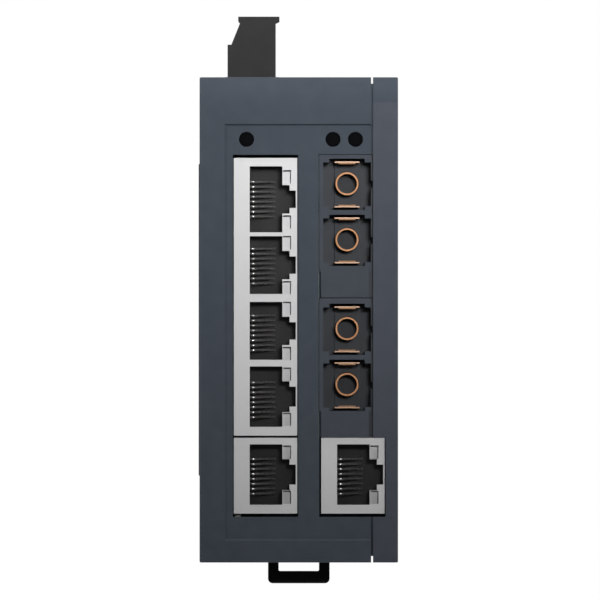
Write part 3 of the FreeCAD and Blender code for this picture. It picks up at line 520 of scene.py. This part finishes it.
hook_plastic = moulded("copper_hook_plastic", (190, 144, 106), (202, 155, 116), grain_mm=0.4,
                       grain_deep=0.006, rough=0.38)
for number in (1, 2, 3, 4):
    node = f"socket_hooks_{number}"
    hooks = finished(node, edge_mm=0.03)
    hand_over(hooks, "case", "copper_hooks", hook_plastic, socket_grey_painted_light)
    for face in hooks.data.polygons:
        if face.center.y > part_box(node)[0].y + HOOK_COPPER * MM:
            face.material_index = 1

# Circuit boards
# The main board lies along the left wall and the port board behind the transceivers. Both
# are glass fibre with green solder mask over copper traces, which show faintly through it.
# The front of the main board, under the jacks, is painted matt black, a painted shade where
# its edge shows past the jacks.
TRACE_PITCH = 1.3
ZONE_WIDE = 11
VIA_PITCH = 3.1
STRIP_WIDE = 16


def soldermask(name):
    """Green board: paler tracks of two directions, round bright vias, glossy mask."""
    finish, place = new_finish(name)
    ahead = place.node("ShaderNodeSeparateXYZ", {}, {0: place}, 1)
    up = Signal(ahead.tree, ahead.socket.node.outputs[2])
    zone = place.node("ShaderNodeTexVoronoi", {"distance": "CHEBYCHEV"},
                      {"Vector": place, "Scale": 1000 / ZONE_WIDE}, 1)
    way = place.node("ShaderNodeSeparateColor", {}, {0: zone})
    rising = place.maths("FRACT", ahead * (1000 / TRACE_PITCH), 0)
    level = place.maths("FRACT", up * (1000 / TRACE_PITCH), 0)
    tracks = (rising > 0.62) * (way > 0.5) + (level > 0.62) * (way < 0.5)
    spot = place.node("ShaderNodeTexVoronoi", {}, {"Vector": place, "Scale": 1000 / VIA_PITCH})
    via = spot < 0.11
    weave = specks(place, 0.35)
    mask = blend(place, tracks * 0.8 + weave * 0.2, colour(14, 58, 36), colour(27, 86, 52))
    return coat_with(
        finish, place,
        Base_Color=blend(place, via, mask, colour(196, 178, 120)),
        Metallic=via * 0.8, Roughness=0.3 + weave * 0.1, Coat_Weight=0.4 - via * 0.4,
        Normal=relief(place, tracks + via * 0.5, 0.02))


green_mask = soldermask("green_solder_mask")
# Painted shade: the matt black strip along the front of the main board
front_strip_painted_shade = moulded("board_strip_painted_shade", (7, 8, 8), (11, 12, 12), grain_mm=0.3,
                     grain_deep=0.01, rough=0.9, shine=0)
for node in ("main_board", "port_board"):
    board = finished(node, edge_mm=0.08)
    if node == "main_board":
        strip_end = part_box(node)[0].y + STRIP_WIDE * MM
        bpy.ops.object.mode_set(mode="EDIT")
        bpy.ops.mesh.select_all(action="SELECT")
        bpy.ops.mesh.bisect(plane_co=(0, strip_end, 0), plane_no=(0, 1, 0))
        bpy.ops.object.mode_set(mode="OBJECT")
    hand_over(board, "case", "green_board", green_mask, front_strip_painted_shade)
    for face in board.data.polygons:
        if node == "main_board" and face.center.y < strip_end:
            face.material_index = 1

# Board screws
# Four zinc-plated machine screws with domed heads and a cross recess. They hold the main
# board to bosses on the left wall of the housing. Each place is given along the case and
# upwards, from the origin.
BOARD_SCREWS = ((-38.0, 39.0), (-9.4, 39.0), (-38.0, -42.6), (-9.4, -42.6))
RECESS_DEEP = 0.8
RECESS_WING = 0.6
RECESS_REACH = 1.0

zinc = plated("zinc_plate", (196, 196, 188), (176, 177, 172), metal=0.85, rough=0.34)
screws = finished("board_screws", edge_mm=0.22)
head_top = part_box("board_screws")[1].x
bpy.ops.object.select_all(action="DESELECT")
bpy.ops.mesh.primitive_cube_add(size=1, location=(head_top, 0, 0),
                                scale=(2 * RECESS_DEEP * MM, RECESS_WING * MM, RECESS_WING * MM))
driver = bpy.context.object
bpy.ops.object.transform_apply(location=True, rotation=True, scale=True)
pick(driver, lambda centre, normal: abs(normal.x) < 0.5)
bpy.ops.mesh.extrude_faces_move(TRANSFORM_OT_shrink_fatten={"value": RECESS_REACH * MM})
bpy.ops.object.mode_set(mode="OBJECT")
for ahead, up in BOARD_SCREWS:
    bit = bpy.data.objects.new("bit", driver.data.copy())
    bit.data.transform(Matrix.Translation((0, ahead * MM, up * MM)))
    bpy.context.scene.collection.objects.link(bit)
    bpy.context.view_layer.objects.active = screws
    screws.select_set(True)
    recess = screws.modifiers.new("recess", "BOOLEAN")
    recess.object = bit
    bpy.ops.object.modifier_apply(modifier="recess")
    bpy.data.objects.remove(bit)
bpy.data.objects.remove(driver)
hand_over(screws, "case", "zinc_steel", zinc)

# Board link
# The stacking connector that joins the two boards. It is a black nylon block, soldered to
# the main board, and its contacts are hidden inside it.
link_plastic = moulded("link_nylon", (26, 26, 27), (33, 33, 34), grain_mm=0.35,
                       grain_deep=0.01, rough=0.55)
link = finished("board_link", edge_mm=0.2)
hand_over(link, "case", "black_plastic", link_plastic)

# Switch chip
# The flat square package that does the switching, moulded in black epoxy with a dimple by
# its first pin. Gull-wing legs on all four sides solder it to the main board.
CHIP_RIM = 0.5
CHIP_CROWN = 0.06
DIMPLE_RADIUS = 0.6
DIMPLE_TALL = 0.4
DIMPLE_IN = 2
LEG_PITCH = 0.8
LEGS = 14
LEG_HIGH = 0.6
LEG_START = 7.1
LEG_THICK = 0.14
LEG_STUB = 0.4
LEG_WIDE = 0.34
LEG_DROP = 0.5
LEG_LEAN = 0.16
LEG_FOOT = 0.5

chip_epoxy = moulded("chip_epoxy", (34, 34, 35), (42, 42, 43), grain_mm=0.18,
                     grain_deep=0.008, rough=0.6)
leg_tin = plated("leg_tin", (188, 188, 184), (166, 166, 162), metal=0.8, rough=0.36)
low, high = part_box("switch_chip")
chip = finished("switch_chip", edge_mm=0.14)
pick(chip, lambda centre, normal: normal.x > 0.99)
bpy.ops.mesh.inset(thickness=CHIP_RIM * MM)
bpy.ops.transform.translate(value=(CHIP_CROWN * MM, 0, 0))
bpy.ops.object.mode_set(mode="OBJECT")
bpy.ops.object.select_all(action="DESELECT")
bpy.ops.mesh.primitive_cylinder_add(
    vertices=24, radius=DIMPLE_RADIUS * MM, depth=DIMPLE_TALL * MM,
    location=(high.x, low.y + DIMPLE_IN * MM, high.z - DIMPLE_IN * MM),
    rotation=(0, math.radians(90), 0))
dimple = bpy.context.object
chip.select_set(True)
bpy.context.view_layer.objects.active = chip
mark = chip.modifiers.new("dimple", "BOOLEAN")
mark.object = dimple
bpy.ops.object.modifier_apply(modifier="dimple")
bpy.data.objects.remove(dimple)
hand_over(chip, "case", "chip_epoxy", chip_epoxy)

bpy.ops.object.select_all(action="DESELECT")
bpy.ops.mesh.primitive_cube_add(size=1, location=(LEG_HIGH * MM, LEG_START * MM, 0),
                                scale=(LEG_THICK * MM, LEG_STUB * MM, LEG_WIDE * MM))
pattern = bpy.context.object
bpy.ops.object.transform_apply(location=True, rotation=True, scale=True)
pick(pattern, lambda centre, normal: normal.y > 0.99)
for step in ((-LEG_DROP * MM, LEG_LEAN * MM, 0), (0, LEG_FOOT * MM, 0)):
    bpy.ops.mesh.extrude_region_move(TRANSFORM_OT_translate={"value": step})
bpy.ops.object.mode_set(mode="OBJECT")
bpy.ops.object.select_all(action="DESELECT")
middle = (low + high) / 2
for side in range(4):
    turn = Matrix.Rotation(side * math.tau / 4, 4, "X")
    for count in range(LEGS):
        leg = bpy.data.objects.new("switch_chip_legs", pattern.data.copy())
        across = (count - (LEGS - 1) / 2) * LEG_PITCH * MM
        leg.data.transform(Matrix.Translation((low.x, middle.y, middle.z)) @ turn
                           @ Matrix.Translation((0, 0, across)))
        bpy.context.scene.collection.objects.link(leg)
        leg.select_set(True)
        bpy.context.view_layer.objects.active = leg
bpy.ops.object.join()
hand_over(bpy.context.object, "case", "tinned_brass", leg_tin)
bpy.data.objects.remove(pattern)

# Transformers and choke
# Three signal transformers in black epoxy boxes and one power choke with a ferrite lid,
# soldered in a row on the main board behind the jacks.
COIL_RIM = 0.8
COIL_DIP = 0.25
CHOKE_RIM = 1.1
CHOKE_DIP = 0.4


def dip_top(piece, rim, deep):
    """Press the middle of a piece's top in, inside a rim."""
    pick(piece, lambda centre, normal: normal.x > 0.99)
    bpy.ops.mesh.inset(thickness=rim * MM)
    bpy.ops.mesh.extrude_region_move(TRANSFORM_OT_translate={"value": (-deep * MM, 0, 0)})
    bpy.ops.object.mode_set(mode="OBJECT")


box_epoxy = moulded("transformer_epoxy", (30, 30, 31), (38, 38, 39), grain_mm=0.2,
                    grain_deep=0.01, rough=0.5)
for number in (1, 2, 3):
    coil = finished(f"transformer_{number}", edge_mm=0.35)
    dip_top(coil, COIL_RIM, COIL_DIP)
    hand_over(coil, "case", "chip_epoxy", box_epoxy)

ferrite = moulded("sintered_ferrite", (58, 58, 57), (74, 73, 71), grain_mm=0.15,
                  grain_deep=0.02, rough=0.7)
choke = finished("power_choke", edge_mm=0.6)
dip_top(choke, CHOKE_RIM, CHOKE_DIP)
hand_over(choke, "case", "ferrite", ferrite)

# Capacitors
# Two aluminium cans that smooth the supply, soldered to the main board. Each is drawn in
# one piece, with a groove rolled in near its foot and its top pressed in a little.
GROOVE_LEVEL = 2.1
GROOVE_HALF = 0.5
GROOVE_WAIST = 0.9
CAN_RIM = 0.5
CAN_DIP = 0.15
CAN_EDGE = 0.25


def can_metal(name):
    """Satin aluminium with fine drawing marks."""
    finish, place = new_finish(name)
    along = place.node("ShaderNodeMapping", {}, {0: place, "Scale": (0.06, 1, 1)})
    drawn = specks(along, 0.15)
    return coat_with(
        finish, place,
        Base_Color=blend(place, drawn, colour(204, 205, 208), colour(184, 186, 190)),
        Metallic=0.9 + (drawn - 0.5) * 0.1, Roughness=0.3 + drawn * 0.12,
        Normal=relief(place, drawn, 0.002))


can_aluminium = can_metal("drawn_aluminium")
for number in (1, 2):
    node = f"capacitor_{number}"
    low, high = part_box(node)
    middle = (low + high) / 2
    bpy.ops.object.select_all(action="DESELECT")
    bpy.ops.mesh.primitive_cylinder_add(
        vertices=48, radius=(high.y - low.y) / 2, depth=high.x - low.x,
        location=middle, rotation=(0, math.radians(90), 0))
    can = bpy.context.object
    can.name = f"capacitor_can_{number}"
    bpy.ops.object.transform_apply(location=True, rotation=True, scale=True)
    bpy.ops.object.mode_set(mode="EDIT")
    for cut in (GROOVE_LEVEL - GROOVE_HALF, GROOVE_LEVEL, GROOVE_LEVEL + GROOVE_HALF):
        bpy.ops.mesh.select_all(action="SELECT")
        bpy.ops.mesh.bisect(plane_co=(low.x + cut * MM, 0, 0), plane_no=(1, 0, 0))
    bpy.ops.mesh.select_mode(type="VERT")
    bpy.ops.mesh.select_all(action="DESELECT")
    bpy.ops.object.mode_set(mode="OBJECT")
    for point in can.data.vertices:
        point.select = abs(point.co.x - low.x - GROOVE_LEVEL * MM) < NEAR * MM
    bpy.ops.object.mode_set(mode="EDIT")
    bpy.context.scene.tool_settings.transform_pivot_point = "MEDIAN_POINT"
    bpy.ops.transform.resize(value=(1, GROOVE_WAIST, GROOVE_WAIST))
    dip_top(can, CAN_RIM, CAN_DIP)
    rim = can.modifiers.new("rim", "BEVEL")
    rim.width = CAN_EDGE * MM
    rim.segments = 3
    rim.limit_method = "ANGLE"
    rim.angle_limit = math.radians(40)
    bpy.ops.object.modifier_apply(modifier="rim")
    bpy.ops.object.shade_smooth_by_angle(angle=math.radians(50))
    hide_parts(node)
    hand_over(can, "case", "can_aluminium", can_aluminium)

# Power header
# The open socket in the top of the case that takes the power plug. It is moulded in black
# nylon, stands on the main board, and carries four tinned pins through its floor.
header_nylon = moulded("header_nylon", (40, 44, 48), (47, 51, 55), grain_mm=0.3,
                       grain_deep=0.01, rough=0.5)
header = finished("power_header", edge_mm=0.07)
hand_over(header, "case", "black_plastic", header_nylon)

pin_tin = plated("pin_tin", (206, 203, 190), (186, 184, 174), metal=0.85, rough=0.28)
pins = finished("power_pins", edge_mm=0.12)
hand_over(pins, "case", "tinned_brass", pin_tin)

# Power plug
# The pluggable terminal that hangs above the case. Its four poles have a wire entry on top
# and a slot on the sloping face that lets the push-in clamp go. It is dark grey nylon.
plug_nylon = moulded("plug_nylon", (34, 34, 34), (40, 40, 40), grain_mm=0.3,
                     grain_deep=0.01, rough=0.8, shine=0.25)
plug = finished("power_plug", edge_mm=0.14)
hand_over(plug, "plug", "plug_plastic", plug_nylon)

cages = finished("plug_contacts", edge_mm=0.06)
hand_over(cages, "plug", "tinned_brass", pin_tin)

# Rail latch
# The flat slide in the rear foot that bites behind the rail, with a pull loop for a
# screwdriver below the case. It is moulded in tough black nylon.
latch_nylon = moulded("latch_nylon", (9, 10, 12), (13, 14, 16), grain_mm=0.3,
                      grain_deep=0.01, rough=0.5, shine=0.03)
latch = finished("rail_latch", edge_mm=0.25)
hand_over(latch, "latch", "black_plastic", latch_nylon)

# Latch spring
# The coil spring in the latch's window, wound from drawn steel wire with closed ends. It
# pushes the latch up against the rail, and shortens to 0.708 of its length when the loop is
# pulled all the way.
SPRING_WIRE = 0.2
SPRING_RADIUS = 1.1
SPRING_TURNS = 9
SPRING_STEPS = 20

low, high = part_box("latch_spring")
axis_y = (low.y + high.y) / 2
bpy.ops.object.select_all(action="DESELECT")
bpy.ops.mesh.primitive_circle_add(vertices=8, radius=SPRING_WIRE * MM,
                                  location=(SPRING_RADIUS * MM, 0, 0),
                                  rotation=(math.radians(90), 0, 0))
spring = bpy.context.object
spring.name = "latch_spring_coil"
bpy.ops.object.transform_apply(location=True, rotation=True, scale=True)
wind = spring.modifiers.new("wind", "SCREW")
wind.steps = SPRING_STEPS
wind.render_steps = SPRING_STEPS
wind.iterations = SPRING_TURNS
wind.screw_offset = (high.z - low.z - 2 * SPRING_WIRE * MM) / SPRING_TURNS
wind.use_smooth_shade = True
bpy.ops.object.modifier_apply(modifier="wind")
bpy.ops.object.mode_set(mode="EDIT")
bpy.ops.mesh.select_all(action="SELECT")
bpy.ops.mesh.remove_doubles(threshold=WELD * MM)
bpy.ops.mesh.fill_holes(sides=0)
bpy.ops.mesh.normals_make_consistent(inside=False)
bpy.ops.object.mode_set(mode="OBJECT")
spring.data.transform(Matrix.Translation((0, axis_y, low.z + SPRING_WIRE * MM)))
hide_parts("latch_spring")
spring_steel = turned("drawn_spring_steel", (168, 168, 166), (146, 147, 146), rough=0.3,
                      metal=0.9)
spring.data.materials.append(spring_steel)
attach(spring, "case")
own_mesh(spring)

# Floor, lights and camera
# A pale floor just below the latch at its lowest, a soft spot above and to the right of the
# lens, aimed high so that the front fades downwards, lamps for the other sides, a long lens.
FLOOR_LEVEL = -59.2
FLOOR_REACH = 450
FLOOR_GREY = 0.45
FLOOR_GLOW = 1.13
FLOOR_SHARE = 0.85
WORLD_DIM = 0.07
SPOT_SPREAD = 10
LENS_PLACE = (0.251, -4198.5, 4.088)

bpy.ops.object.select_all(action="DESELECT")
bpy.ops.mesh.primitive_circle_add(vertices=96, radius=FLOOR_REACH * MM, fill_type="NGON",
                                  location=(0, 0, FLOOR_LEVEL * MM))
floor = bpy.context.object
floor.name = "floor"
floor_finish = bpy.data.materials.new("pale_floor")
floor_finish.use_nodes = True
floor_finish.node_tree.nodes.clear()


def background_rays(tree):
    """1 where a ray comes from the camera, a reflection or clear material, else 0."""
    path = tree.nodes.new("ShaderNodeLightPath")
    seen = Signal(tree, path.outputs["Is Camera Ray"])
    for ray in ("Is Glossy Ray", "Is Transmission Ray"):
        seen = seen.maths("MAXIMUM", seen, Signal(tree, path.outputs[ray]))
    return seen


seen = background_rays(floor_finish.node_tree)
lit = seen.node("ShaderNodeBsdfDiffuse", {}, {"Color": (FLOOR_GREY, FLOOR_GREY, FLOOR_GREY, 1)})
white = seen.node("ShaderNodeEmission", {}, {"Color": (1, 1, 1, 1), "Strength": FLOOR_GLOW})
both = seen.node("ShaderNodeMixShader", {}, {0: seen * FLOOR_SHARE, 1: lit, 2: white})
seen.node("ShaderNodeOutputMaterial", {}, {"Surface": both})
floor.data.materials.append(floor_finish)
floor.select_set(False)

world = bpy.data.worlds.new("studio")
bpy.context.scene.world = world
world.use_nodes = True
world.node_tree.nodes.clear()
seen = background_rays(world.node_tree)
dim = seen.node("ShaderNodeBackground", {},
                {"Color": (0.97, 0.985, 1, 1), "Strength": WORLD_DIM})
white = seen.node("ShaderNodeBackground", {}, {"Color": (1, 1, 1, 1), "Strength": 1.0})
both = seen.node("ShaderNodeMixShader", {}, {0: seen, 1: dim, 2: white})
seen.node("ShaderNodeOutputWorld", {}, {"Surface": both})


def stand_lamp(name, kind, place, aim, power, size):
    """A lamp of one kind at a place, turned towards a point, with its size in millimetres."""
    lamp = bpy.data.lights.new(name, kind)
    lamp.energy = power
    if kind == "AREA":
        lamp.size = size * MM
    else:
        lamp.shadow_soft_size = size * MM
        lamp.spot_size = math.radians(SPOT_SPREAD)
        lamp.spot_blend = 1.0
    stand = bpy.data.objects.new(name, lamp)
    place, aim = (Vector([step * MM for step in point]) for point in (place, aim))
    stand.location = place
    stand.rotation_euler = (aim - place).to_track_quat("-Z", "Y").to_euler()
    bpy.context.scene.collection.objects.link(stand)


origin = (0, 0, 0)
stand_lamp("front_spot", "SPOT", (100, -1650, 160), aim=(20, -78.5, 105.5), power=155, size=80)
stand_lamp("front_fill", "AREA", (250, -2200, 250), aim=origin, power=1, size=300)
stand_lamp("top_lamp", "AREA", (0, -100, 800), aim=(0, -78.5, 0), power=4, size=250)
stand_lamp("left_lamp", "AREA", (-650, 250, 100), aim=origin, power=2.7, size=400)
stand_lamp("right_lamp", "AREA", (650, 250, 100), aim=origin, power=2.7, size=400)

lens = bpy.data.cameras.new("front_camera")
lens.type = "PERSP"
lens.lens = 1200
lens.sensor_width = 36
lens.clip_end = 100
camera = bpy.data.objects.new("front_camera", lens)
camera.location = [step * MM for step in LENS_PLACE]
camera.rotation_euler = (math.radians(90), 0, 0)
bpy.context.scene.collection.objects.link(camera)
bpy.context.scene.camera = camera
bpy.context.scene.view_settings.view_transform = "Standard"
